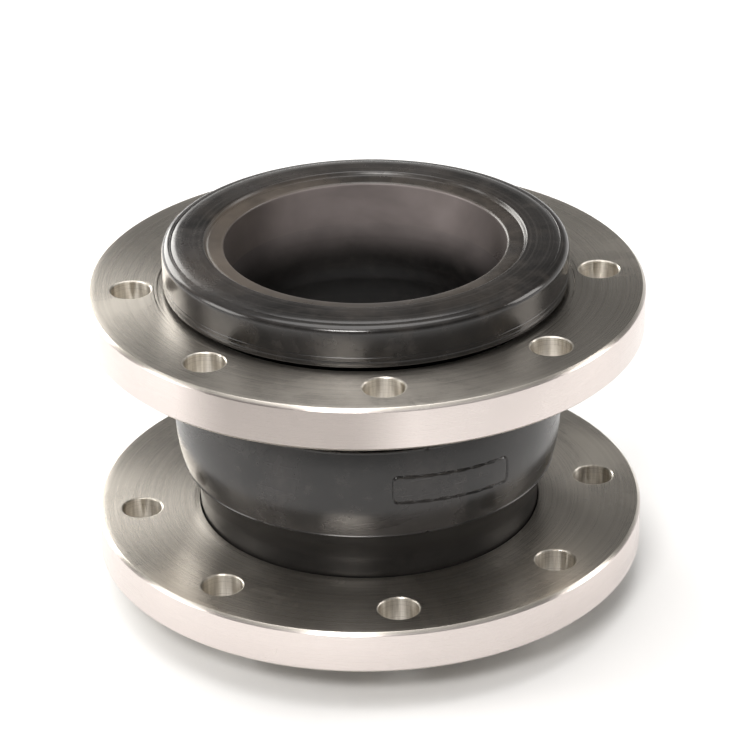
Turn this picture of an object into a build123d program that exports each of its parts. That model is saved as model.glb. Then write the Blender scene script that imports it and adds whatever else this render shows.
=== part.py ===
from build123d import *
import math
import os

# Single-arch rubber expansion joint, nominal bore 125 mm, with two loose steel flanges.
# Origin: centre of the lower sealing face. +Z runs along the pipe axis, +X through a bolt hole of the lower flange.
# All lengths in millimetres.

# ---- overall -------------------------------------------------------------
face_to_face = 169.0          # between the two sealing faces
mid = face_to_face / 2

# ---- loose flanges ---------------------------------------------------------
flange_r = 125.0              # outside radius
flange_t = 20.0               # thickness
flange_bore_r = 78.0          # bore that runs on the rubber neck
flange_recess_r = 93.3        # inner edge of the flat outer face
flange_step = 0.6             # small step at that edge
flange_round_r = 14.4         # quarter round from the step into the bore
flange_edge_chamfer = 1.5     # on both rims
bolt_circle_r = 105.0
bolt_hole_r = 9.0
bolt_count = 8
hole_chamfer = 0.5
lower_flange_z = 19.3         # underside of the lower flange, which lies on its bead
upper_flange_z = 127.7        # underside of the upper flange, 2 mm short of its seat
upper_flange_turn = -2.84     # degrees that the upper flange stands turned on the lower one

# ---- rubber body: outside surface --------------------------------------------
bead_r = 90.6                 # outside radius of the sealing bead
bead_edge_r = 3.5             # rounding between the sealing face and the bead's side
face_in_r, face_out_r = 72.0, 81.0   # the flat sealing ring
face_fall = 0.9               # the face falls this far from the flat ring to its outer edge
flare_c = (92.4, 34.3)        # centre of the concave flare behind the bead
flare_r = 15.0
neck_r = 77.4
shoulder_r = 50.0             # concave arc from the neck into the arch
crown_c_r = 21.7              # radius at which the crown arc is centred
crown_r = 66.0                # crown arc, outside radius of the arch = 87.7
bore_r = 63.0

# ---- rubber body: layers, as depths below the outside surface -----------------
gap = 0.3                     # bond line between two layers
cover_t = 3.0
ply_t = 1.2
ply_depths = {                # outermost ply first
    "fabric_ply_outer": cover_t + gap,
    "fabric_ply_middle": cover_t + 2 * gap + ply_t,
    "fabric_ply_inner": cover_t + 3 * gap + 2 * ply_t,
}
tube_depth = cover_t + 4 * gap + 3 * ply_t
tube_crown_r = 55.0           # inside of the arch, same centre as the crown arc
tube_shoulder_r = 22.0        # convex arc from the bore into the arch
tube_end_z = 22.5             # the inner tube butts on the bead collar here

# ---- bead core ----------------------------------------------------------------
core_r, core_z = 78.4, 12.5   # centre of the bead core, the plies turn round it
wire_r = 1.0
wire_pitch = 2.05
wrap_in, wrap_out = 3.25, 4.0
turn_ends = {"fabric_ply_outer": 17.7, "fabric_ply_middle": 17.0, "fabric_ply_inner": 16.4}
filler_tip_z = 27.0
cover_end_r = 86.9            # the outer cover ends here, under the bead collar's lip
collar_leg_z = 22.2


# ---- section drawing in the (r, z) plane -----------------------------------------
def on_arc(centre, radius, r=None, z=None):
    """The point of a circle at a given r (lower side) or z (bore side)."""
    if z is None:
        return (r, centre[1] - math.sqrt(radius ** 2 - (r - centre[0]) ** 2))
    return (centre[0] - math.sqrt(radius ** 2 - (z - centre[1]) ** 2), z)


def line(p, q):
    return ("L", p, q)


def arc(centre, p, q):
    """The shorter arc about centre from p to q."""
    radius = math.dist(centre, p)
    mx, mz = (p[0] + q[0]) / 2 - centre[0], (p[1] + q[1]) / 2 - centre[1]
    k = radius / math.hypot(mx, mz)
    return ("A", p, (centre[0] + mx * k, centre[1] + mz * k), q)


def half_turn(p, m, q):
    return ("A", p, m, q)


def up(point):
    return (point[0], face_to_face - point[1])


def mirrored(path):
    """The same path over the mid-plane, walked so that it carries on from the path's end."""
    out = []
    for s in reversed(path):
        pts = [up(p) for p in reversed(s[1:])]
        out.append((s[0], *pts))
    return out


def backwards(path):
    return [(s[0], *reversed(s[1:])) for s in reversed(path)]


def ring(path):
    """The solid that a closed section sweeps round the pipe axis."""
    edges = []
    for s in path:
        pts = [Vector(r, 0, z) for r, z in s[1:]]
        if s[0] == "L":
            edges.append(Edge.make_line(*pts))
        else:
            edges.append(Edge.make_three_point_arc(*pts))
    face = Face(Wire(edges))
    return revolve(face, Axis.Z, 360)


neck_c = (neck_r + shoulder_r, 0.0)
reach = math.sqrt((crown_r + shoulder_r) ** 2 - (neck_c[0] - crown_c_r) ** 2)
shoulder_c = (neck_r + shoulder_r, mid - reach)
crown_c = (crown_c_r, mid)


def tangent_point(c1, r1, c2):
    """The point of the circle (c1, r1) that faces c2."""
    d = math.dist(c1, c2)
    return (c1[0] + (c2[0] - c1[0]) * r1 / d, c1[1] + (c2[1] - c1[1]) * r1 / d)


def wall(depth, start_z):
    """The outside surface offset inwards, from start_z on the neck to the middle of the arch."""
    r = neck_r - depth
    t = tangent_point(shoulder_c, shoulder_r + depth, crown_c)
    return [
        line((r, start_z), (r, shoulder_c[1])),
        arc(shoulder_c, (r, shoulder_c[1]), t),
        arc(crown_c, t, (crown_c_r + crown_r - depth, mid)),
    ]


def full(path):
    return path + mirrored(path)


def layer(outer, inner):
    """A full-height layer between two half paths that both start at its lower end."""
    a, b = full(outer), full(inner)
    return ring(a + [line(a[-1][-1], b[-1][-1])] + backwards(b) + [line(b[0][1], a[0][1])])


parts = {}

# ---- outer cover: arch, necks and the flares behind the beads ----------------------
cover_out = [arc(flare_c, on_arc(flare_c, flare_r, r=cover_end_r), (neck_r, flare_c[1]))] + wall(0, flare_c[1])
r_in = flare_r + cover_t
cover_in = [arc(flare_c, on_arc(flare_c, r_in, r=cover_end_r), (flare_c[0] - r_in, flare_c[1]))] + wall(
    cover_t, flare_c[1]
)
parts["outer_cover"] = layer(cover_out, cover_in)


# ---- fabric plies: down the neck, under the bead core and up its outer side ---------
def ply_path(depth, end_z):
    r = neck_r - depth
    turn = core_r - r
    return [
        line((core_r + turn, end_z), (core_r + turn, core_z)),
        half_turn((core_r + turn, core_z), (core_r, core_z - turn), (r, core_z)),
        line((r, core_z), (r, shoulder_c[1])),
    ] + wall(depth, shoulder_c[1] - 1.0)[1:]


for name, depth in ply_depths.items():
    parts[name] = layer(ply_path(depth, turn_ends[name]), ply_path(depth + ply_t, turn_ends[name]))

# ---- inner tube: lines the bore and the inside of the arch --------------------------
tube_neck_c_r = bore_r + tube_shoulder_r
tube_reach = math.sqrt((tube_crown_r + tube_shoulder_r) ** 2 - (tube_neck_c_r - crown_c_r) ** 2)
tube_c = (tube_neck_c_r, mid - tube_reach)
tube_t = tangent_point(tube_c, tube_shoulder_r, crown_c)
tube_in = [
    line((bore_r, tube_end_z), (bore_r, tube_c[1])),
    arc(tube_c, (bore_r, tube_c[1]), tube_t),
    arc(crown_c, tube_t, (crown_c_r + tube_crown_r, mid)),
]
parts["inner_tube"] = layer(wall(tube_depth, tube_end_z), tube_in)

# ---- bead collar: the moulded rubber of the sealing face, wrapped round the ply turns ---
turn_out = core_r - (neck_r - tube_depth)          # clear of the innermost ply
leg_in = neck_r - tube_depth
leg_out = core_r + turn_out
groove_r = 70.6
corner = on_arc(flare_c, flare_r, r=bead_r)
lip = on_arc(flare_c, flare_r, r=leg_out)
face_edge_r = bead_r - bead_edge_r
edge_z = face_fall + bead_edge_r
collar = ring([
    line((bore_r, collar_leg_z), (bore_r, 2.8)),
    arc((bore_r + 0.8, 2.8), (bore_r, 2.8), (bore_r + 0.8, 2.0)),
    line((bore_r + 0.8, 2.0), (groove_r - 0.5, 1.5)),
    line((groove_r - 0.5, 1.5), (groove_r, 1.75)),
    line((groove_r, 1.75), (face_in_r, 0.0)),
    line((face_in_r, 0.0), (face_out_r, 0.0)),
    line((face_out_r, 0.0), (face_edge_r, face_fall)),
    arc((face_edge_r, edge_z), (face_edge_r, face_fall), (bead_r, edge_z)),
    line((bead_r, edge_z), corner),
    arc(flare_c, corner, lip),
    line(lip, (leg_out, core_z)),
    half_turn((leg_out, core_z), (core_r, core_z - turn_out), (leg_in, core_z)),
    line((leg_in, core_z), (leg_in, collar_leg_z)),
    line((leg_in, collar_leg_z), (bore_r, collar_leg_z)),
])

# ---- bead wire: one core wire and six round it, each a closed hoop --------------------
places = [(0.0, 0.0)] + [
    (wire_pitch * math.cos(math.radians(60 * i)), wire_pitch * math.sin(math.radians(60 * i))) for i in range(6)
]
wires = [Pos(0, 0, core_z + dz) * Torus(core_r + dr, wire_r) for dr, dz in places]

# ---- bead wrap: rubbered fabric tape round the wire bundle ------------------------------
wrap = Pos(0, 0, core_z) * (Torus(core_r, wrap_out) - Torus(core_r, wrap_in))

# ---- bead filler: hard rubber wedge between the core, the plies and the flare -----------
free_r = flare_r + cover_t + gap
left = neck_r - cover_t                                  # clear of the outermost ply
clear = wrap_out + gap
half = core_r - left
rise = math.sqrt(clear ** 2 - half ** 2)
right = core_r + half
filler = ring([
    line((left, core_z + rise), (left, filler_tip_z)),
    line((left, filler_tip_z), on_arc(flare_c, free_r, z=filler_tip_z)),
    arc(flare_c, on_arc(flare_c, free_r, z=filler_tip_z), on_arc(flare_c, free_r, r=right)),
    line(on_arc(flare_c, free_r, r=right), (right, core_z + rise)),
    half_turn((right, core_z + rise), (core_r, core_z + clear), (left, core_z + rise)),
])

mirror_plane = Plane.XY.offset(mid)
for name, shape in {"bead_collar": collar, "bead_wrap": wrap, "bead_filler": filler}.items():
    parts["lower_" + name] = shape
    parts["upper_" + name] = mirror(shape, about=mirror_plane)
parts["lower_bead_wire"] = Compound(children=[w.solid() for w in wires])
parts["upper_bead_wire"] = Compound(children=[mirror(w, about=mirror_plane).solid() for w in wires])


# ---- loose flanges ----------------------------------------------------------------------
def flange():
    """A loose flange with its recessed outer face down and its plain arch side up, underside at z = 0."""
    c, t = flange_edge_chamfer, flange_t
    round_c = (flange_bore_r + flange_round_r, flange_step + flange_round_r)
    blank = ring([
        line((flange_bore_r + 0.3, t), (flange_r - c, t)),
        line((flange_r - c, t), (flange_r, t - c)),
        line((flange_r, t - c), (flange_r, c)),
        line((flange_r, c), (flange_r - c, 0)),
        line((flange_r - c, 0), (flange_recess_r, 0)),
        line((flange_recess_r, 0), (flange_recess_r, flange_step)),
        line((flange_recess_r, flange_step), (round_c[0], flange_step)),
        arc(round_c, (round_c[0], flange_step), (flange_bore_r, round_c[1])),
        line((flange_bore_r, round_c[1]), (flange_bore_r, t - 0.3)),
        line((flange_bore_r, t - 0.3), (flange_bore_r + 0.3, t)),
    ])
    r, k = bolt_hole_r, hole_chamfer
    drill = ring([
        line((0, -1), (r + k + 1, -1)),
        line((r + k + 1, -1), (r, k)),
        line((r, k), (r, t - k)),
        line((r, t - k), (r + k + 1, t + 1)),
        line((r + k + 1, t + 1), (0, t + 1)),
        line((0, t + 1), (0, -1)),
    ])
    for i in range(bolt_count):
        blank -= Rot(0, 0, 360 / bolt_count * i) * Pos(bolt_circle_r, 0, 0) * drill
    return blank


loose = flange()
parts["lower_flange"] = Pos(0, 0, lower_flange_z) * loose
flipped = Rot(0, 0, upper_flange_turn) * Pos(0, 0, upper_flange_z + flange_t) * Rot(180, 0, 0) * loose
parts["upper_flange"] = flipped

os.makedirs("parts", exist_ok=True)
for name, shape in parts.items():
    export_step(shape, f"parts/{name}.step")
    print(name, round(shape.volume, 1))
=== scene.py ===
import math

import bmesh
import bpy
from mathutils import Matrix, Vector


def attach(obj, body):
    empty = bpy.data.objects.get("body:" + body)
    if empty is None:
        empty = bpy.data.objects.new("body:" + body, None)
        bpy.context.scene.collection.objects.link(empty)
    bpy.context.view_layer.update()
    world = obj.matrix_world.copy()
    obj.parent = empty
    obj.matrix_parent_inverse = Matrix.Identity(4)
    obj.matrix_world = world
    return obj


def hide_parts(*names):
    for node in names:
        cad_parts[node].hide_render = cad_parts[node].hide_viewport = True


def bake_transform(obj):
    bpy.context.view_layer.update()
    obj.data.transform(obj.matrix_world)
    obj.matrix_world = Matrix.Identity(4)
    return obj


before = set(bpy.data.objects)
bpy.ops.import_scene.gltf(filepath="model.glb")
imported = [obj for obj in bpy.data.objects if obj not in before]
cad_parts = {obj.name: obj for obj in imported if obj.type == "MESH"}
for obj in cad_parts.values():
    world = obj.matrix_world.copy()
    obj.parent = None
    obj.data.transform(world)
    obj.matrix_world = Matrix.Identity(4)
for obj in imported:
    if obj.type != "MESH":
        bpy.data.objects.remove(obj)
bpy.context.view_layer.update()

# ---------------------------------------------------------------------------
# drawing, in millimetres, in the row frame
# ---------------------------------------------------------------------------
H = 169.0
MID = H / 2
STEP_Z = 63.2              # the mould's parting step on the arch
PHOTO_TURN = 6.56          # degrees from the row's X to the camera's right-hand side

FL_R, FL_T, FL_BORE = 125.0, 20.0, 78.0
LOWER_Z, UPPER_Z, UPPER_TURN = 19.3, 127.7, -2.84

NECK_R, SHOULDER_R, CROWN_C, CROWN_R = 77.4, 50.0, 21.7, 66.0
FLARE_C, FLARE_R = (92.4, 34.3), 15.0
BORE_R, TUBE_CROWN, TUBE_SHOULDER = 63.0, 55.0, 22.0
COVER_T, PLY_T, GAP = 3.0, 1.2, 0.3
TUBE_D = COVER_T + 4 * GAP + 3 * PLY_T
CORE_R, CORE_Z = 78.4, 12.5
TUBE_END = 22.5

# where the wall bends, one band for each joint of the chain
BANDS = [40.3, 54.3, 68.3, 98.7, 112.7, 126.7]

REACH = math.sqrt((CROWN_R + SHOULDER_R) ** 2 - (NECK_R + SHOULDER_R - CROWN_C) ** 2)
T_REACH = math.sqrt((TUBE_CROWN + TUBE_SHOULDER) ** 2 - (BORE_R + TUBE_SHOULDER - CROWN_C) ** 2)


def mm(x):
    return x * 0.001


def two_arcs(h, neck, shoulder, reach, crown):
    """Radius at height h above or below the middle: crown arc, then the concave or convex arc into a straight neck."""
    h = abs(h)
    if h >= reach:
        return neck
    join = reach * crown / (crown + shoulder)
    if h <= join:
        return CROWN_C + math.sqrt(crown * crown - h * h)
    return neck + shoulder - math.sqrt(shoulder * shoulder - (reach - h) ** 2)


def wall_r(z, depth):
    """Outside surface offset inwards by depth."""
    return two_arcs(z - MID, NECK_R - depth, SHOULDER_R + depth, REACH, CROWN_R - depth)


def tube_in_r(z):
    return two_arcs(z - MID, BORE_R, TUBE_SHOULDER, T_REACH, TUBE_CROWN)


def arc_pts(c, r, a0, a1, n):
    """Points of an arc from a0 to a1 degrees, both included."""
    return [
        (c[0] + r * math.cos(math.radians(a0 + (a1 - a0) * i / n)), c[1] + r * math.sin(math.radians(a0 + (a1 - a0) * i / n)))
        for i in range(n + 1)
    ]


def smooth(x):
    x = min(1.0, max(0.0, x))
    return x * x * (3 - 2 * x)


def rounded(pts, radii, n=4):
    """A closed polygon's corners rounded by the radii given, in order (0 keeps a corner)."""
    out = []
    m = len(pts)
    for i in range(m):
        p, q, s = Vector(pts[i - 1]), Vector(pts[i]), Vector(pts[(i + 1) % m])
        r = radii[i]
        if r <= 0:
            out.append(tuple(q))
            continue
        u, v = (p - q).normalized(), (s - q).normalized()
        ang = u.angle(v)
        d = r / math.tan(ang / 2)
        a, b = q + u * d, q + v * d
        c = q + (u + v).normalized() * (r / math.sin(ang / 2))
        a0 = math.atan2(a.y - c.y, a.x - c.x)
        a1 = math.atan2(b.y - c.y, b.x - c.x)
        while a1 - a0 > math.pi:
            a1 -= 2 * math.pi
        while a1 - a0 < -math.pi:
            a1 += 2 * math.pi
        for k in range(n + 1):
            t = a0 + (a1 - a0) * k / n
            out.append((c.x + r * math.cos(t), c.y + r * math.sin(t)))
    return out


# ---------------------------------------------------------------------------
# meshes
# ---------------------------------------------------------------------------
def new_object(name, verts, faces, material, sharp=32.0):
    me = bpy.data.meshes.new(name)
    me.from_pydata(verts, [], faces)
    bm = bmesh.new()
    bm.from_mesh(me)
    bmesh.ops.remove_doubles(bm, verts=bm.verts, dist=2e-6)
    bmesh.ops.dissolve_degenerate(bm, edges=bm.edges, dist=1e-7)
    bmesh.ops.recalc_face_normals(bm, faces=bm.faces)
    for f in bm.faces:
        f.smooth = True
    bm.to_mesh(me)
    bm.free()
    me.set_sharp_from_angle(angle=math.radians(sharp))
    me.materials.append(material)
    ob = bpy.data.objects.new(name, me)
    bpy.context.scene.collection.objects.link(ob)
    return ob


def even(n):
    return [360.0 * i / n for i in range(n)]


def revolve(name, loop, material, angles, sharp=32.0, push=None):
    """A closed section swept round Z. push(angle, i, r, z) may move a point's radius."""
    n = len(loop)
    verts, faces = [], []
    for a in angles:
        c, s = math.cos(math.radians(a)), math.sin(math.radians(a))
        for i, (r, z) in enumerate(loop):
            if push:
                r = push(a, i, r, z)
            verts.append((mm(r * c), mm(r * s), mm(z)))
    m = len(angles)
    for j in range(m):
        k = (j + 1) % m
        for i in range(n):
            h = (i + 1) % n
            faces.append((j * n + i, k * n + i, k * n + h, j * n + h))
    return new_object(name, verts, faces, material, sharp)


# ---------------------------------------------------------------------------
# materials
# ---------------------------------------------------------------------------
class Nodes:
    """Short hand for building a material's nodes."""

    def __init__(self, name):
        self.m = bpy.data.materials.new(name)
        self.m.use_nodes = True
        self.t = self.m.node_tree
        self.t.nodes.clear()
        self.out = self.t.nodes.new("ShaderNodeOutputMaterial")
        self.bsdf = self.t.nodes.new("ShaderNodeBsdfPrincipled")
        self.t.links.new(self.bsdf.outputs[0], self.out.inputs[0])
        self.coord = self.t.nodes.new("ShaderNodeTexCoord")
        self.xyz = self.t.nodes.new("ShaderNodeSeparateXYZ")
        self.t.links.new(self.coord.outputs["Object"], self.xyz.inputs[0])
        self.P = self.coord.outputs["Object"]
        self.X, self.Y, self.Z = self.xyz.outputs

    def link(self, a, b):
        self.t.links.new(a, b)

    def put(self, socket, value):
        if isinstance(value, bpy.types.NodeSocket):
            self.t.links.new(value, socket)
        else:
            socket.default_value = value

    def math(self, op, a, b=0.0, c=None, clamp=False):
        n = self.t.nodes.new("ShaderNodeMath")
        n.operation = op
        n.use_clamp = clamp
        self.put(n.inputs[0], a)
        self.put(n.inputs[1], b)
        if c is not None:
            self.put(n.inputs[2], c)
        return n.outputs[0]

    def radius(self):
        return self.math("SQRT", self.math("ADD", self.math("MULTIPLY", self.X, self.X), self.math("MULTIPLY", self.Y, self.Y)))

    def combine(self, x, y, z):
        n = self.t.nodes.new("ShaderNodeCombineXYZ")
        for s, v in zip(n.inputs, (x, y, z)):
            self.put(s, v)
        return n.outputs[0]

    def noise(self, vector, scale, detail=3.0, rough=0.5, distortion=0.0, dims="3D"):
        n = self.t.nodes.new("ShaderNodeTexNoise")
        n.noise_dimensions = dims
        if dims == "1D":
            self.put(n.inputs["W"], vector)
        else:
            self.put(n.inputs["Vector"], vector)
        n.inputs["Scale"].default_value = scale
        n.inputs["Detail"].default_value = detail
        n.inputs["Roughness"].default_value = rough
        n.inputs["Distortion"].default_value = distortion
        return n.outputs[0]

    def voronoi(self, vector, scale, feature="F1", rand=1.0):
        n = self.t.nodes.new("ShaderNodeTexVoronoi")
        n.feature = feature
        self.put(n.inputs["Vector"], vector)
        n.inputs["Scale"].default_value = scale
        n.inputs["Randomness"].default_value = rand
        return n.outputs[0]

    def scaled(self, sx, sy, sz):
        n = self.t.nodes.new("ShaderNodeMapping")
        self.link(self.P, n.inputs["Vector"])
        n.inputs["Scale"].default_value = (sx, sy, sz)
        return n.outputs[0]

    def span(self, value, a, b, lo=0.0, hi=1.0, kind="LINEAR"):
        n = self.t.nodes.new("ShaderNodeMapRange")
        n.interpolation_type = kind
        self.put(n.inputs["Value"], value)
        n.inputs["From Min"].default_value = a
        n.inputs["From Max"].default_value = b
        n.inputs["To Min"].default_value = lo
        n.inputs["To Max"].default_value = hi
        return n.outputs[0]

    def mix(self, f, a, b):
        n = self.t.nodes.new("ShaderNodeMix")
        n.data_type = "RGBA"
        self.put(n.inputs[0], f)
        self.put(n.inputs[6], a)
        self.put(n.inputs[7], b)
        return n.outputs[2]

    def bump(self, height, strength, distance, normal=None):
        n = self.t.nodes.new("ShaderNodeBump")
        n.inputs["Strength"].default_value = strength
        n.inputs["Distance"].default_value = distance
        self.link(height, n.inputs["Height"])
        if normal is not None:
            self.link(normal, n.inputs["Normal"])
        return n.outputs[0]

    def normal_z(self):
        g = self.t.nodes.new("ShaderNodeNewGeometry")
        s = self.t.nodes.new("ShaderNodeSeparateXYZ")
        self.link(g.outputs["Normal"], s.inputs[0])
        return self.math("ABSOLUTE", s.outputs[2])

    def angle(self):
        return self.math("ARCTAN2", self.Y, self.X)

    def set(self, **values):
        for k, v in values.items():
            self.put(self.bsdf.inputs[k.replace("_", " ")], v)
        return self.m


def rgb(r, g, b):
    return (r, g, b, 1.0)


def steel(name, z0, turned, seed):
    """Turned plate steel: fine concentric tool marks on the faces, rings round the rim, drill marks in the holes,
    smudges and a little tarnish, and a painted dark reflection on one stretch of the upper rim.
    """
    n = Nodes(name)
    r = n.radius()
    z = n.math("SUBTRACT", n.Z, mm(z0))
    flat = n.normal_z()
    off = n.t.nodes.new("ShaderNodeMapping")
    n.link(n.P, off.inputs["Vector"])
    off.inputs["Location"].default_value = (seed, seed * 1.7, seed * 0.4)
    P = off.outputs[0]
    # distance from the nearest bolt hole's axis
    step = math.radians(45.0)
    a = n.math("ADD", n.angle(), math.radians(360.0 + 22.5 - turned))
    a = n.math("SUBTRACT", n.math("FLOORED_MODULO", a, step), step / 2)
    dx = n.math("SUBTRACT", n.math("MULTIPLY", r, n.math("COSINE", a)), mm(105.0))
    dy = n.math("MULTIPLY", r, n.math("SINE", a))
    d = n.math("SQRT", n.math("ADD", n.math("MULTIPLY", dx, dx), n.math("MULTIPLY", dy, dy)))
    hole = n.span(d, mm(9.9), mm(9.3))
    # tool marks: one dimensional noise of the radius on flat faces, of the height on rims and in holes
    on_face = n.span(flat, 0.5, 0.7)
    track = n.math("ADD", n.math("MULTIPLY", r, on_face), n.math("MULTIPLY", z, n.span(flat, 0.7, 0.5)))
    track = n.math("ADD", track, n.math("MULTIPLY", n.noise(P, 7.0, 2.0), 0.0003))
    fine = n.noise(track, 6500.0, 2.0, 0.6, dims="1D")
    wide = n.noise(track, 420.0, 3.0, 0.5, dims="1D")
    marks = n.math("ADD", n.math("MULTIPLY", fine, 0.7), n.math("MULTIPLY", wide, 0.3))
    # smudges, finger marks and a few fine scratches
    smudge = n.noise(P, 16.0, 5.0, 0.60, 0.6)
    spots = n.noise(P, 60.0, 3.0, 0.55)
    stain = n.span(smudge, 0.50, 0.74, kind="SMOOTHSTEP")
    fleck = n.span(spots, 0.64, 0.80, kind="SMOOTHSTEP")
    scratch_v = n.t.nodes.new("ShaderNodeMapping")
    n.link(P, scratch_v.inputs["Vector"])
    scratch_v.inputs["Rotation"].default_value = (0.0, 0.0, 0.7)
    scratch_v.inputs["Scale"].default_value = (26.0, 1100.0, 200.0)
    scratch = n.span(n.noise(scratch_v.outputs[0], 1.0, 1.0, 0.5), 0.74, 0.80)
    base = n.mix(n.span(wide, 0.3, 0.7), rgb(0.57, 0.530, 0.478), rgb(0.66, 0.618, 0.562))
    base = n.mix(n.math("MULTIPLY", stain, 0.30), base, rgb(0.47, 0.44, 0.385))
    base = n.mix(n.math("MULTIPLY", fleck, 0.12), base, rgb(0.74, 0.72, 0.68))
    streak = n.noise(n.scaled(420.0, 420.0, 30.0), 1.0, 3.0, 0.6)
    drilled = n.noise(z, 1500.0, 2.0, 0.5, dims="1D")
    # the rims are a little pinker, and the upper rim has a painted dark reflection on the stretch facing the camera
    rim = n.span(r, mm(124.2), mm(124.7))
    painted_dark_reflection = n.math("COSINE", n.math("SUBTRACT", n.angle(), math.radians(-106.0 - PHOTO_TURN)))
    painted_dark_reflection = n.math("MULTIPLY", n.span(painted_dark_reflection, 0.90, 0.985, kind="SMOOTHSTEP"), 0.62 if turned else 0.0)
    base = n.mix(rim, base, rgb(0.66, 0.60, 0.575))
    base = n.mix(n.math("MULTIPLY", rim, painted_dark_reflection), base, rgb(0.17, 0.15, 0.135))
    worn = n.mix(n.span(streak, 0.35, 0.65), rgb(0.52, 0.48, 0.42), rgb(0.86, 0.82, 0.75))
    worn = n.mix(n.span(drilled, 0.56, 0.70, 0.0, 0.45), worn, rgb(0.36, 0.33, 0.29))
    base = n.mix(hole, base, worn)
    rough = n.math("ADD", n.span(fine, 0.3, 0.7, 0.24, 0.31), n.math("MULTIPLY", stain, 0.06))
    rough = n.math("ADD", rough, n.math("MULTIPLY", fleck, 0.05))
    rough = n.math("ADD", rough, n.math("MULTIPLY", scratch, 0.06))
    rough = n.math("ADD", rough, n.math("MULTIPLY", hole, 0.14), clamp=True)
    tangent = n.t.nodes.new("ShaderNodeTangent")
    tangent.direction_type = "RADIAL"
    tangent.axis = "Z"
    n.link(tangent.outputs[0], n.bsdf.inputs["Tangent"])
    nb = n.bump(marks, 0.10, 0.00010)
    nb = n.bump(scratch, 0.06, 0.00004, nb)
    return n.set(Base_Color=base, Metallic=1.0, Roughness=rough, Anisotropic=0.75, Anisotropic_Rotation=0.25, Normal=nb)


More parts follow.
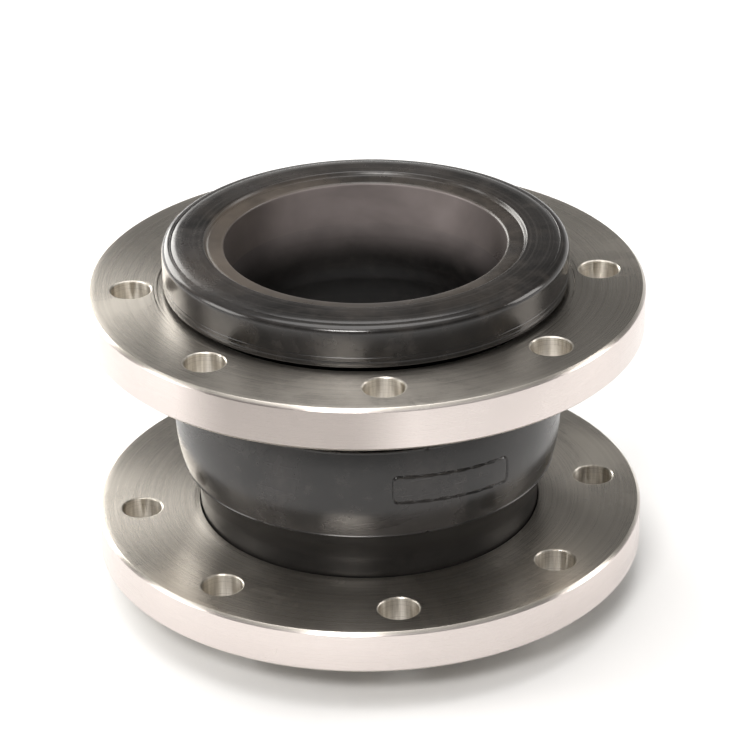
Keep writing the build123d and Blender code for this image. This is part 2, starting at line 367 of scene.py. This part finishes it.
def rubber(name, look):
    """Moulded black rubber. look is cover, bead or tube."""
    n = Nodes(name)
    r = n.radius()
    bloom = n.noise(n.P, 22.0, 5.0, 0.62, 0.7)       # patchy bloom and handling marks
    grain = n.noise(n.P, 1500.0, 3.0, 0.6)
    mottle = n.noise(n.P, 120.0, 4.0, 0.62)
    rub = n.span(n.noise(n.scaled(34.0, 34.0, 420.0), 1.0, 4.0, 0.6), 0.58, 0.76)
    dark, pale, tan_dust_and_reflection = rgb(0.0085, 0.0078, 0.0075), rgb(0.024, 0.0215, 0.0205), rgb(0.120, 0.095, 0.073)
    base = n.mix(n.span(bloom, 0.34, 0.70, kind="SMOOTHSTEP"), dark, pale)
    base = n.mix(n.math("MULTIPLY", n.span(mottle, 0.52, 0.74), 0.35), base, rgb(0.050, 0.044, 0.040))
    rough = n.span(bloom, 0.3, 0.7, 0.19, 0.30)
    gloss = 0.5
    # painted sheen: the bore wall's colour is lifted to grey near both ends, which also makes it duller, and it stays
    # dark in the arch
    height = n.math("ABSOLUTE", n.math("SUBTRACT", n.Z, mm(MID)))
    cloud = n.noise(n.P, 14.0, 4.0, 0.6, 0.5)
    painted_bore_sheen = n.math("MULTIPLY", n.span(height, mm(44), mm(68), kind="SMOOTHSTEP"), n.span(cloud, 0.30, 0.70, 0.45, 1.0))
    # the painted sheen is brightest on the far wall of the bore, the side that faces the camera
    sheen_far_wall = n.math("COSINE", n.math("SUBTRACT", n.angle(), math.radians(80.0 - PHOTO_TURN)))
    painted_bore_sheen = n.math("MULTIPLY", painted_bore_sheen, n.span(sheen_far_wall, 0.40, 1.0, 0.22, 1.0, kind="SMOOTHSTEP"))
    if look == "cover":
        base = n.mix(n.math("MULTIPLY", rub, 0.10), base, rgb(0.070, 0.064, 0.064))
        rough = n.math("ADD", rough, n.math("MULTIPLY", rub, 0.07))
        # the land outside the parting step is duller than the arch itself, and its colour is darkened as painted shade
        land = n.span(height, mm(MID - STEP_Z - 0.5), mm(MID - STEP_Z + 0.3))
        base = n.mix(n.math("MULTIPLY", land, 0.65), base, rgb(0.008, 0.0075, 0.007))
        rough = n.math("ADD", rough, n.math("MULTIPLY", land, 0.16))
        gloss = n.span(land, 0.0, 1.0, 0.5, 0.18)
    if look == "bead":
        # dust in the dished ring inside the sealing face and in the groove round it, with a painted tan reflection
        # added towards the left side
        inner = n.math("MULTIPLY", n.span(r, mm(72.2), mm(71.0)), n.span(r, mm(62.7), mm(63.4)))
        # painted reflection: the tan grows towards the left side of the ring
        side = n.math("MULTIPLY", n.span(n.X, mm(0), mm(-60)), 0.34)
        patch = n.span(n.noise(n.P, 30.0, 4.0, 0.65), 0.36, 0.64)
        dust_and_reflection = n.math("MULTIPLY", inner, n.math("ADD", n.math("MULTIPLY", patch, 0.20), side), clamp=True)
        # a thin rubbed line at the bore's edge, and dull tan patches on the face
        rim = n.math("MULTIPLY", n.span(r, mm(64.4), mm(63.7)), n.span(r, mm(62.9), mm(63.3)))
        dust_and_reflection = n.math("ADD", dust_and_reflection, n.math("MULTIPLY", rim, 0.12), clamp=True)
        haze = n.math("MULTIPLY", n.span(n.noise(n.P, 19.0, 5.0, 0.7), 0.46, 0.72), 0.16)
        base = n.mix(n.math("ADD", dust_and_reflection, haze, clamp=True), base, tan_dust_and_reflection)
        rough = n.math("ADD", rough, n.math("MULTIPLY", dust_and_reflection, 0.20))
        # the rounded edge is polished by handling
        edge = n.math("MULTIPLY", n.span(r, mm(86.9), mm(87.6)), n.span(n.math("ABSOLUTE", n.math("SUBTRACT", n.Z, mm(MID))), mm(79.4), mm(80.4)))
        rough = n.math("SUBTRACT", rough, n.math("MULTIPLY", edge, 0.07))
        # inside the bore: duller, with the painted sheen in its colour
        bore = n.span(r, mm(63.5), mm(63.1))
        base = n.mix(n.math("MULTIPLY", bore, painted_bore_sheen), base, rgb(0.330, 0.285, 0.278))
        rough = n.math("ADD", rough, n.math("MULTIPLY", n.math("MULTIPLY", bore, painted_bore_sheen), 0.30))
        ring = n.span(n.noise(r, 700.0, 2.0, 0.5, dims="1D"), 0.52, 0.66)
        base = n.mix(n.math("MULTIPLY", ring, 0.15), base, rgb(0.085, 0.078, 0.072))
    if look == "tube":
        rings = n.noise(n.Z, 260.0, 3.0, 0.6, dims="1D")
        rough = n.math("ADD", rough, 0.16)
        # painted sheen on the bore wall near both ends, which also makes it duller
        base = n.mix(painted_bore_sheen, base, rgb(0.330, 0.285, 0.278))
        base = n.mix(n.math("MULTIPLY", n.span(rings, 0.5, 0.7), 0.10), base, rgb(0.050, 0.044, 0.042))
        rough = n.math("ADD", rough, n.math("MULTIPLY", painted_bore_sheen, 0.30))
    nb = n.bump(grain, 0.08, 0.00008)
    nb = n.bump(mottle, 0.10, 0.00022, nb)
    return n.set(Base_Color=base, Roughness=rough, Specular_IOR_Level=gloss, Normal=nb)


def fabric(name, warm):
    """Rubbered tyre cord fabric: close parallel cords on the bias in a dark gum."""
    n = Nodes(name)
    a = n.math("MULTIPLY", n.angle(), 0.078)
    bias = n.math("ADD", a, n.math("MULTIPLY", n.Z, 0.8))
    cords = n.math("SINE", n.math("MULTIPLY", bias, 2 * math.pi / 0.0012))
    weft = n.math("SINE", n.math("MULTIPLY", n.math("SUBTRACT", a, n.Z), 2 * math.pi / 0.009))
    gum = n.noise(n.P, 60.0, 4.0, 0.6)
    base = n.mix(n.span(cords, -0.6, 0.8), rgb(0.05, 0.043, 0.034), warm)
    base = n.mix(n.math("MULTIPLY", n.span(weft, 0.88, 1.0), 0.5), base, rgb(0.34, 0.30, 0.22))
    base = n.mix(n.span(gum, 0.50, 0.75, 0.0, 0.6), base, rgb(0.03, 0.028, 0.026))
    nb = n.bump(cords, 0.5, 0.00025)
    return n.set(Base_Color=base, Roughness=n.span(gum, 0.3, 0.7, 0.62, 0.85), Sheen_Weight=0.15, Normal=nb)


def wire(name):
    """Brass coated bead wire, drawn, with lay marks."""
    n = Nodes(name)
    a = n.math("MULTIPLY", n.angle(), 0.078)
    drawn = n.noise(n.scaled(300.0, 300.0, 2200.0), 1.0, 3.0, 0.5)
    lay = n.math("SINE", n.math("MULTIPLY", n.math("ADD", a, n.math("MULTIPLY", n.Z, 3.0)), 2 * math.pi / 0.012))
    base = n.mix(n.span(drawn, 0.35, 0.65), rgb(0.50, 0.37, 0.17), rgb(0.66, 0.52, 0.27))
    base = n.mix(n.span(lay, 0.8, 1.0, 0.0, 0.4), base, rgb(0.30, 0.22, 0.12))
    return n.set(Base_Color=base, Metallic=1.0, Roughness=n.span(drawn, 0.3, 0.7, 0.24, 0.40), Normal=n.bump(drawn, 0.15, 0.00006))


def filler(name):
    """Hard extruded rubber with extrusion lines."""
    n = Nodes(name)
    lines = n.noise(n.math("ADD", n.radius(), n.Z), 1500.0, 2.0, 0.5, dims="1D")
    speck = n.noise(n.P, 900.0, 2.0, 0.5)
    base = n.mix(n.span(speck, 0.45, 0.7), rgb(0.022, 0.020, 0.018), rgb(0.050, 0.044, 0.037))
    return n.set(Base_Color=base, Roughness=n.span(lines, 0.3, 0.7, 0.50, 0.66), Normal=n.bump(lines, 0.3, 0.00012))


STEEL_LOW = steel("turned_steel_lower", LOWER_Z, 0.0, 0.0)
STEEL_UP = steel("turned_steel_upper", UPPER_Z, UPPER_TURN, 3.1)
COVER = rubber("cover_rubber", "cover")
BEAD = rubber("bead_rubber", "bead")
TUBE = rubber("tube_rubber", "tube")
PLY = fabric("ply_fabric", rgb(0.33, 0.27, 0.18))
WRAP = fabric("wrap_fabric", rgb(0.24, 0.22, 0.19))
WIRE = wire("bead_wire")
FILLER = filler("filler_rubber")


# ---------------------------------------------------------------------------
# flanges
# ---------------------------------------------------------------------------
def flange(name, z0, turn, flip, material, seed):
    """A loose flange as one closed shell. Its recessed side looks down, or up when flip is set."""
    hole_r, pcd, t = 9.0, 105.0, FL_T
    per = 32                   # steps of each 45 degree sector on the round edges
    side = 14                  # steps of each sector's straight sides
    ring_n = 2 * per + 2 * side
    verts, faces, index = [], [], {}

    def vert(x, y, z):
        key = (round(x, 4), round(y, 4), round(z, 4))
        if key not in index:
            index[key] = len(verts)
            verts.append((mm(x), mm(y), mm(z)))
        return index[key]

    def polar(r, a, z):
        return vert(r * math.cos(math.radians(a)), r * math.sin(math.radians(a)), z)

    def strip(profile):
        """Rows of quads round the axis along an open profile."""
        m = per * 8
        for (r0, za), (r1, zb) in zip(profile, profile[1:]):
            for j in range(m):
                a, b = 360.0 * j / m - 22.5, 360.0 * (j + 1) / m - 22.5
                faces.append((polar(r0, a, za), polar(r0, b, za), polar(r1, b, zb), polar(r1, a, zb)))

    c = 1.5
    edge = 0.28
    # rim: outer face edge, chamfer, rim, chamfer, arch-side edge, each corner softened
    rim = rounded(
        [(FL_R - c - 3, 0.0), (FL_R - c, 0.0), (FL_R, c), (FL_R, t - c), (FL_R - c, t), (FL_R - c - 3, t)],
        [0, 0.35, 0.35, 0.35, 0.35, 0], 3)
    strip(rim)
    # bore: arch-side edge, bore, quarter round, step, outer face
    bore = rounded(
        [(FL_BORE + 4, t), (FL_BORE, t), (FL_BORE, 17.0)], [0, 0.5, 0], 4)[:-1]
    bore += [(FL_BORE, t - 2.5), (FL_BORE, 15.0)]
    bore += arc_pts((FL_BORE + 14.4, 15.0), 14.4, 180, 270, 26)[1:]
    bore += [(93.05, 0.6), (93.2, 0.52), (93.3, 0.4), (93.3, 0.25), (93.36, 0.1), (93.5, 0.0), (95.0, 0.0)]
    strip(bore)
    # hole section: rounded chamfers at both ends
    wall = rounded([(hole_r + 1.2, 0.0), (hole_r + 0.5, 0.0), (hole_r, 0.5), (hole_r, t - 0.5), (hole_r + 0.5, t), (hole_r + 1.2, t)],
                   [0, 0.12, 0.2, 0.2, 0.12, 0], 2)
    for i in range(8):
        mid = 45.0 * i
        border = {}
        for z, r_in in ((0.0, 95.0), (t, FL_BORE + 4.0)):
            r_out = FL_R - c - 3
            edge_pts = []
            for j in range(per):
                edge_pts.append((r_out, mid - 22.5 + 45.0 * j / per))
            for j in range(side):
                edge_pts.append((r_out + (r_in - r_out) * j / side, mid + 22.5))
            for j in range(per):
                edge_pts.append((r_in, mid + 22.5 - 45.0 * j / per))
            for j in range(side):
                edge_pts.append((r_in + (r_out - r_in) * j / side, mid - 22.5))
            border[z] = [(r * math.cos(math.radians(a)), r * math.sin(math.radians(a))) for r, a in edge_pts]
        cx, cy = pcd * math.cos(math.radians(mid)), pcd * math.sin(math.radians(mid))
        start = math.atan2(border[0.0][0][1] - cy, border[0.0][0][0] - cx)

        def ring_point(r, k, z):
            a = start + 2 * math.pi * k / ring_n
            return vert(cx + r * math.cos(a), cy + r * math.sin(a), z)

        for (r0, za), (r1, zb) in zip(wall, wall[1:]):
            for k in range(ring_n):
                faces.append((ring_point(r0, k, za), ring_point(r0, k + 1, za), ring_point(r1, k + 1, zb), ring_point(r1, k, zb)))
        for z in (0.0, t):
            steps = 4
            for k in range(ring_n):
                pts = []
                for kk in (k, k + 1):
                    kk %= ring_n
                    a = start + 2 * math.pi * kk / ring_n
                    hx, hy = cx + (hole_r + 1.2) * math.cos(a), cy + (hole_r + 1.2) * math.sin(a)
                    bx, by = border[z][kk]
                    pts.append([(hx + (bx - hx) * s / steps, hy + (by - hy) * s / steps) for s in range(steps + 1)])
                for s in range(steps):
                    faces.append((vert(*pts[0][s], z), vert(*pts[1][s], z), vert(*pts[1][s + 1], z), vert(*pts[0][s + 1], z)))
    ca, sa = math.cos(math.radians(turn)), math.sin(math.radians(turn))
    out = []
    for x, y, z in verts:
        if flip:
            y, z = -y, mm(FL_T) - z
        out.append((x * ca - y * sa, x * sa + y * ca, z + mm(z0)))
    return new_object(name, out, faces, material, 25.0)


low = flange("lower_loose_flange", LOWER_Z, 0.0, False, STEEL_LOW, 1)
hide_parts("lower_flange")
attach(low, "lower_flange")
upp = flange("upper_loose_flange", UPPER_Z, UPPER_TURN, True, STEEL_UP, 2)
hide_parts("upper_flange")
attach(upp, "upper_flange")

# ---------------------------------------------------------------------------
# rubber wall
# ---------------------------------------------------------------------------
# angles: finer where the blank moulded field lies, the same for all the cover's bands and ends so that they meet
FIELD_A = (-83.2 - PHOTO_TURN, -46.4 - PHOTO_TURN)


def cover_angles():
    out, a = [], FIELD_A[0] - 2.5
    stop = FIELD_A[1] + 2.5
    n = int(round((stop - a) / 0.22))
    out += [a + (stop - a) * i / n for i in range(n)]
    rest = 360.0 - (stop - a)
    m = int(round(rest / 1.1))
    out += [stop + rest * i / m for i in range(m)]
    return out


ANGLES = cover_angles()
NIBS = [a - PHOTO_TURN for a in (-123.8, -72.7, -21.0, 32.0, 84.0, 140.0, 196.0)]


def frame_field(a, z):
    """Depth of the groove that outlines the blank field, a plain rounded rectangle that follows the mould."""
    u = (a - FIELD_A[0]) / (FIELD_A[1] - FIELD_A[0])
    if not -0.1 < u < 1.1:
        return 0.0
    half_w = (FIELD_A[1] - FIELD_A[0]) / 2 * math.radians(1) * 87.0
    x = (u - 0.5) * 2 * half_w
    y = z - (86.4 - 3.0 * (u - 0.5))
    hh, rr = 6.2, 2.2
    qx, qy = abs(x) - (half_w - rr), abs(y) - (hh - rr)
    d = math.hypot(max(qx, 0), max(qy, 0)) + min(max(qx, qy), 0) - rr
    return 0.55 * smooth(1.0 - abs(d) / 0.75)


def cover_push(a, z):
    """How far the real moulded surface stands off the plain curve, outwards."""
    out = 0.0
    for s, zz in ((1, z), (-1, H - z)):
        # the land below the parting step, which fades out towards the neck
        if zz < STEP_Z + 0.25:
            land = smooth((STEP_Z + 0.25 - zz) / 0.5)
            out -= 1.15 * land * smooth((zz - 41.0) / 9.0)
        # thin flash line on the step's edge
        out += 0.42 * smooth(1.0 - abs(zz - STEP_Z - 0.6) / 0.55)
        out -= 0.50 * smooth(1.0 - abs(zz - STEP_Z + 0.35) / 0.45)
        for k, nib in enumerate(NIBS):
            d = (a - nib + 180.0) % 360.0 - 180.0
            out -= 0.9 * smooth(1 - abs(d) / 1.1) * smooth(1 - abs(zz - STEP_Z - 0.5) / 0.9)
    out -= frame_field(a, z)
    return out


def rows(z0, z1, step, extra=()):
    n = max(2, int(round((z1 - z0) / step)))
    zs = {round(z0 + (z1 - z0) * i / n, 4) for i in range(n + 1)}
    zs |= {round(z0 + 0.12, 4), round(z1 - 0.12, 4)}
    zs |= {round(e, 4) for e in extra if z0 < e < z1}
    out = []
    for z in sorted(zs):
        if not out or z - out[-1] > 0.06:
            out.append(z)
        elif z == round(z1, 4):
            out[-1] = z
    return out


STEP_ROWS = [STEP_Z + d for d in (-1.0, -0.75, -0.55, -0.35, -0.2, -0.05, 0.1, 0.25, 0.4, 0.55, 0.7, 0.85, 1.0, 1.2)]
STEP_ROWS += [H - z for z in STEP_ROWS]


def band_piece(name, z0, z1, outer, inner, material, angles, step=0.5, push=None, extra=(), inner_step=None, sharp=32.0):
    zo = rows(z0, z1, step, extra)
    zi = rows(z0, z1, inner_step or step)
    loop = [(outer(z), z) for z in zo] + [(inner(z), z) for z in reversed(zi)]
    count = len(zo)
    moved = (lambda a, i, r, z: r + push(a, z) if i < count else r) if push else None
    return revolve(name, loop, material, angles, sharp, moved)


def wall_layer(label, node, outer, inner, material, angles, step, inner_step, push=None, extra=()):
    """The five bands of one layer, one for each joint of the chain."""
    made = []
    for k in range(5):
        z0, z1 = BANDS[k], BANDS[k + 1]
        ob = band_piece(f"{label}_band_{k + 1}", z0, z1, outer, inner, material, angles, step, push, extra, inner_step)
        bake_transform(ob)
        made.append(ob)
    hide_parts(node)
    return made


wall_layer("cover", "outer_cover", lambda z: wall_r(z, 0.0), lambda z: wall_r(z, COVER_T), COVER,
           ANGLES, 0.42, 3.0, cover_push, STEP_ROWS)
wall_layer("tube", "inner_tube", lambda z: wall_r(z, TUBE_D), tube_in_r, TUBE, even(180), 3.0, 0.8)
PLIES = [("ply_outer", "fabric_ply_outer", COVER_T + GAP, 17.7), ("ply_middle", "fabric_ply_middle", COVER_T + 2 * GAP + PLY_T, 17.0),
         ("ply_inner", "fabric_ply_inner", COVER_T + 3 * GAP + 2 * PLY_T, 16.4)]
for label, node, depth, _ in PLIES:
    wall_layer(label, node, lambda z, d=depth: wall_r(z, d), lambda z, d=depth: wall_r(z, d + PLY_T), PLY,
               even(120), 2.5, 2.5)


# the rigid ends of the layers, at both beads
def flipped(loop):
    return [(r, H - z) for r, z in reversed(loop)]


def on_flare(radius, r):
    return FLARE_C[1] - math.sqrt(radius ** 2 - (r - FLARE_C[0]) ** 2)


def flare_pts(radius, r_from, n=14):
    """Along the concave flare from radius r_from to its bore side."""
    a0 = math.degrees(math.atan2(on_flare(radius, r_from) - FLARE_C[1], r_from - FLARE_C[0]))
    if a0 < 0:
        a0 += 360
    return arc_pts(FLARE_C, radius, a0, 180, n)


def ends(label, material, loop_for, angles, push=None):
    for body, stop, flip in (("lower_end", BANDS[0], False), ("upper_end", H - BANDS[5], True)):
        loop = loop_for(stop)
        if flip:
            loop = flipped(loop)
        ob = revolve(f"{label}_{'head' if flip else 'foot'}", loop, material, angles)
        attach(ob, body)


def foot_cover(stop):
    out = flare_pts(FLARE_R, 86.9) + [(wall_r(z, 0), z) for z in (35.6, 36.8, 37.8, 38.8, 39.8, 40.8) if z < stop - 0.4] + [(wall_r(stop - 0.12, 0), stop - 0.12), (wall_r(stop, 0), stop)]
    inn = flare_pts(FLARE_R + COVER_T, 86.9) + [(wall_r(z, COVER_T), z) for z in (36.0, 38.0, 40.0) if z < stop - 1] + [(wall_r(stop, COVER_T), stop)]
    return out + list(reversed(inn))


def foot_tube(stop):
    zs = [TUBE_END, 28.0, 34.0, 37.0, 39.0]
    out = [(wall_r(z, TUBE_D), z) for z in zs if z < stop - 0.5] + [(wall_r(stop, TUBE_D), stop)]
    inn = [(tube_in_r(z), z) for z in [TUBE_END, TUBE_END + 0.12, 30.0, 36.0, 38.0, 39.0, 40.0] if z < stop - 0.5] + [(tube_in_r(stop - 0.12), stop - 0.12), (tube_in_r(stop), stop)]
    return out + list(reversed(inn))


def foot_ply(depth, end_z):
    def make(stop):
        def path(d):
            r = NECK_R - d
            turn = CORE_R - r
            return [(CORE_R + turn, end_z)] + arc_pts((CORE_R, CORE_Z), turn, 0, -180, 26) + [(wall_r(z, d), z) for z in (22.0, 30.0, 36.0, 38.0) if z < stop - 1] + [(wall_r(stop, d), stop)]
        return path(depth) + list(reversed(path(depth + PLY_T)))
    return make


ends("cover", COVER, foot_cover, ANGLES)
ends("tube", TUBE, foot_tube, even(180))
for label, _, depth, end_z in PLIES:
    ends(label, PLY, foot_ply(depth, end_z), even(120))


# bead collars
def collar_loop():
    leg_in, leg_out = NECK_R - TUBE_D, 2 * CORE_R - (NECK_R - TUBE_D)
    turn = CORE_R - leg_in
    loop = [(BORE_R, TUBE_END), (BORE_R, 14.0), (BORE_R, 7.0), (BORE_R, 3.8)]
    loop += arc_pts((BORE_R + 1.3, 3.3), 1.3, 180, 262, 8)                      # soft edge of the bore
    loop += [(65.4, 1.86), (67.8, 1.68), (69.3, 1.60), (69.9, 1.62), (70.25, 1.76), (70.6, 1.80), (70.85, 1.62)]   # dished ring and its groove
    loop += [(71.25, 1.02), (71.6, 0.50), (71.85, 0.18), (72.1, 0.04), (72.5, 0.0)]   # step up to the sealing face
    loop += [(76.0, 0.0), (80.4, 0.0), (81.6, 0.04), (84.0, 0.36)]
    loop += [(85.9, 0.70), (86.15, 0.90), (86.4, 0.92), (86.62, 0.80), (86.9, 0.84)]   # fine mould line
    loop += arc_pts((87.1, 4.4), 3.5, -88, 0, 14)
    loop += [(90.6, 8.0), (90.6, 12.6), (90.6, 14.6), (90.45, 14.8), (90.6, 15.0), (90.6, 16.6), (90.42, 16.82), (90.55, 17.05), (90.55, 18.6)]
    loop += [(90.3, on_flare(FLARE_R, 90.3)), (89.4, on_flare(FLARE_R, 89.4)), (88.4, on_flare(FLARE_R, 88.4)), (leg_out, on_flare(FLARE_R, leg_out))]
    loop += arc_pts((CORE_R, CORE_Z), turn, 0, -180, 24)
    loop += [(leg_in, TUBE_END)]
    return loop


def tidy(loop):
    out = []
    for p in loop:
        if not out or math.dist(p, out[-1]) > 0.02:
            out.append(p)
    return out


for body, flip in (("lower_end", False), ("upper_end", True)):
    loop = tidy(collar_loop())
    if flip:
        loop = flipped(loop)
    side = "upper" if flip else "lower"
    ob = revolve(f"{side}_sealing_bead", loop, BEAD, even(300), 30.0)
    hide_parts(f"{side}_bead_collar")
    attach(ob, body)

# pieces that stay as they are inside the beads
for side in ("lower", "upper"):
    for node, material in (("bead_wire", WIRE), ("bead_wrap", WRAP), ("bead_filler", FILLER)):
        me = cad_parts[f"{side}_{node}"].data
        me.materials.clear()
        me.materials.append(material)

# ---------------------------------------------------------------------------
# camera, floor and light
# ---------------------------------------------------------------------------
turn = Matrix.Rotation(math.radians(-PHOTO_TURN), 3, "Z")
e, roll, dist = math.radians(27.07), math.radians(-0.95), 1.45732
look = Vector((-0.00096, 0.0, 0.0854 + mm(LOWER_Z)))
fwd = Vector((0.0, math.cos(e), -math.sin(e)))
right = Vector((1.0, 0.0, 0.0))
up = right.cross(fwd)
r2 = right * math.cos(roll) + up * math.sin(roll)
u2 = -right * math.sin(roll) + up * math.cos(roll)
pos = turn @ (look - fwd * dist)
r2, u2, back = turn @ r2, turn @ u2, turn @ -fwd
cam_data = bpy.data.cameras.new("camera")
cam = bpy.data.objects.new("camera", cam_data)
bpy.context.scene.collection.objects.link(cam)
cam.matrix_world = Matrix((
    (r2.x, u2.x, back.x, pos.x), (r2.y, u2.y, back.y, pos.y), (r2.z, u2.z, back.z, pos.z), (0, 0, 0, 1)))
cam_data.sensor_width = 36.0
cam_data.lens = 3216.05 / 730 * 36.0
cam_data.clip_start, cam_data.clip_end = 0.05, 40.0
bpy.context.scene.camera = cam


def disc(name, radius, z, material):
    verts = [(0, 0, z)] + [(radius * math.cos(math.radians(a)), radius * math.sin(math.radians(a)), z) for a in even(96)]
    faces = [(0, 1 + i, 1 + (i + 1) % 96) for i in range(96)]
    ob = new_object(name, verts, faces, material)
    return ob


fm = bpy.data.materials.new("studio_floor")
fm.use_nodes = True
fb = fm.node_tree.nodes["Principled BSDF"]
fb.inputs["Base Color"].default_value = rgb(0.86, 0.86, 0.86)
fb.inputs["Roughness"].default_value = 0.7
floor = disc("studio_floor", 2.0, -0.0001, fm)


def area(name, photo_pos, target, size, power, colour=(1, 1, 1)):
    """A soft box. Its place is given in the camera's axes: +X right, +Y away from the camera."""
    li = bpy.data.lights.new(name, "AREA")
    li.shape = "RECTANGLE"
    li.size, li.size_y = size
    li.energy = power
    li.color = colour
    ob = bpy.data.objects.new(name, li)
    bpy.context.scene.collection.objects.link(ob)
    p = turn @ Vector(photo_pos)
    d = turn @ Vector(target) - p
    ob.location = p
    ob.rotation_euler = d.to_track_quat("-Z", "Y").to_euler()
    return ob


area("key_box", (-0.50, -2.1, 2.0), (0, 0, 0.1), (0.9, 0.5), 42, (1.0, 0.975, 0.95))
area("top_box", (-0.1, 0.1, 2.4), (0, 0, 0), (2.2, 1.8), 36, (1.0, 0.98, 0.96))
area("left_box", (-2.2, -0.2, 0.95), (0, 0, 0.1), (1.0, 1.0), 19, (1.0, 0.98, 0.95))
area("left_back_box", (-1.25, 1.66, 0.85), (0, 0, 0.1), (1.5, 1.0), 33, (1.0, 0.98, 0.94))
area("right_box", (2.2, 0.3, 0.9), (0, 0, 0.1), (0.9, 1.0), 15, (1.0, 0.97, 0.94))

world = bpy.data.worlds.new("studio")
bpy.context.scene.world = world
world.use_nodes = True
wt = world.node_tree
wt.nodes.clear()
wo = wt.nodes.new("ShaderNodeOutputWorld")
bg = wt.nodes.new("ShaderNodeBackground")
tc = wt.nodes.new("ShaderNodeTexCoord")
sx = wt.nodes.new("ShaderNodeSeparateXYZ")
ramp = wt.nodes.new("ShaderNodeValToRGB")
wt.links.new(tc.outputs["Generated"], sx.inputs[0])
mr = wt.nodes.new("ShaderNodeMapRange")
mr.inputs["From Min"].default_value = -0.2
mr.inputs["From Max"].default_value = 1.0
wt.links.new(sx.outputs[2], mr.inputs["Value"])
wt.links.new(mr.outputs[0], ramp.inputs[0])
wt.links.new(ramp.outputs[0], bg.inputs["Color"])
wt.links.new(bg.outputs[0], wo.inputs[0])
cr = ramp.color_ramp
cr.elements[0].position, cr.elements[0].color = 0.0, rgb(0.95, 0.95, 0.95)
cr.elements[1].position, cr.elements[1].color = 1.0, rgb(0.9, 0.9, 0.9)
for p, v in ((0.22, 0.90), (0.30, 0.55), (0.42, 0.15), (0.62, 0.13), (0.80, 0.40)):
    el = cr.elements.new(p)
    el.color = rgb(v, v * 0.985, v * 0.96)
bg.inputs["Strength"].default_value = 1.0

sc = bpy.context.scene
sc.view_settings.view_transform = "Standard"
sc.view_settings.look = "None"
sc.cycles.use_denoising = True
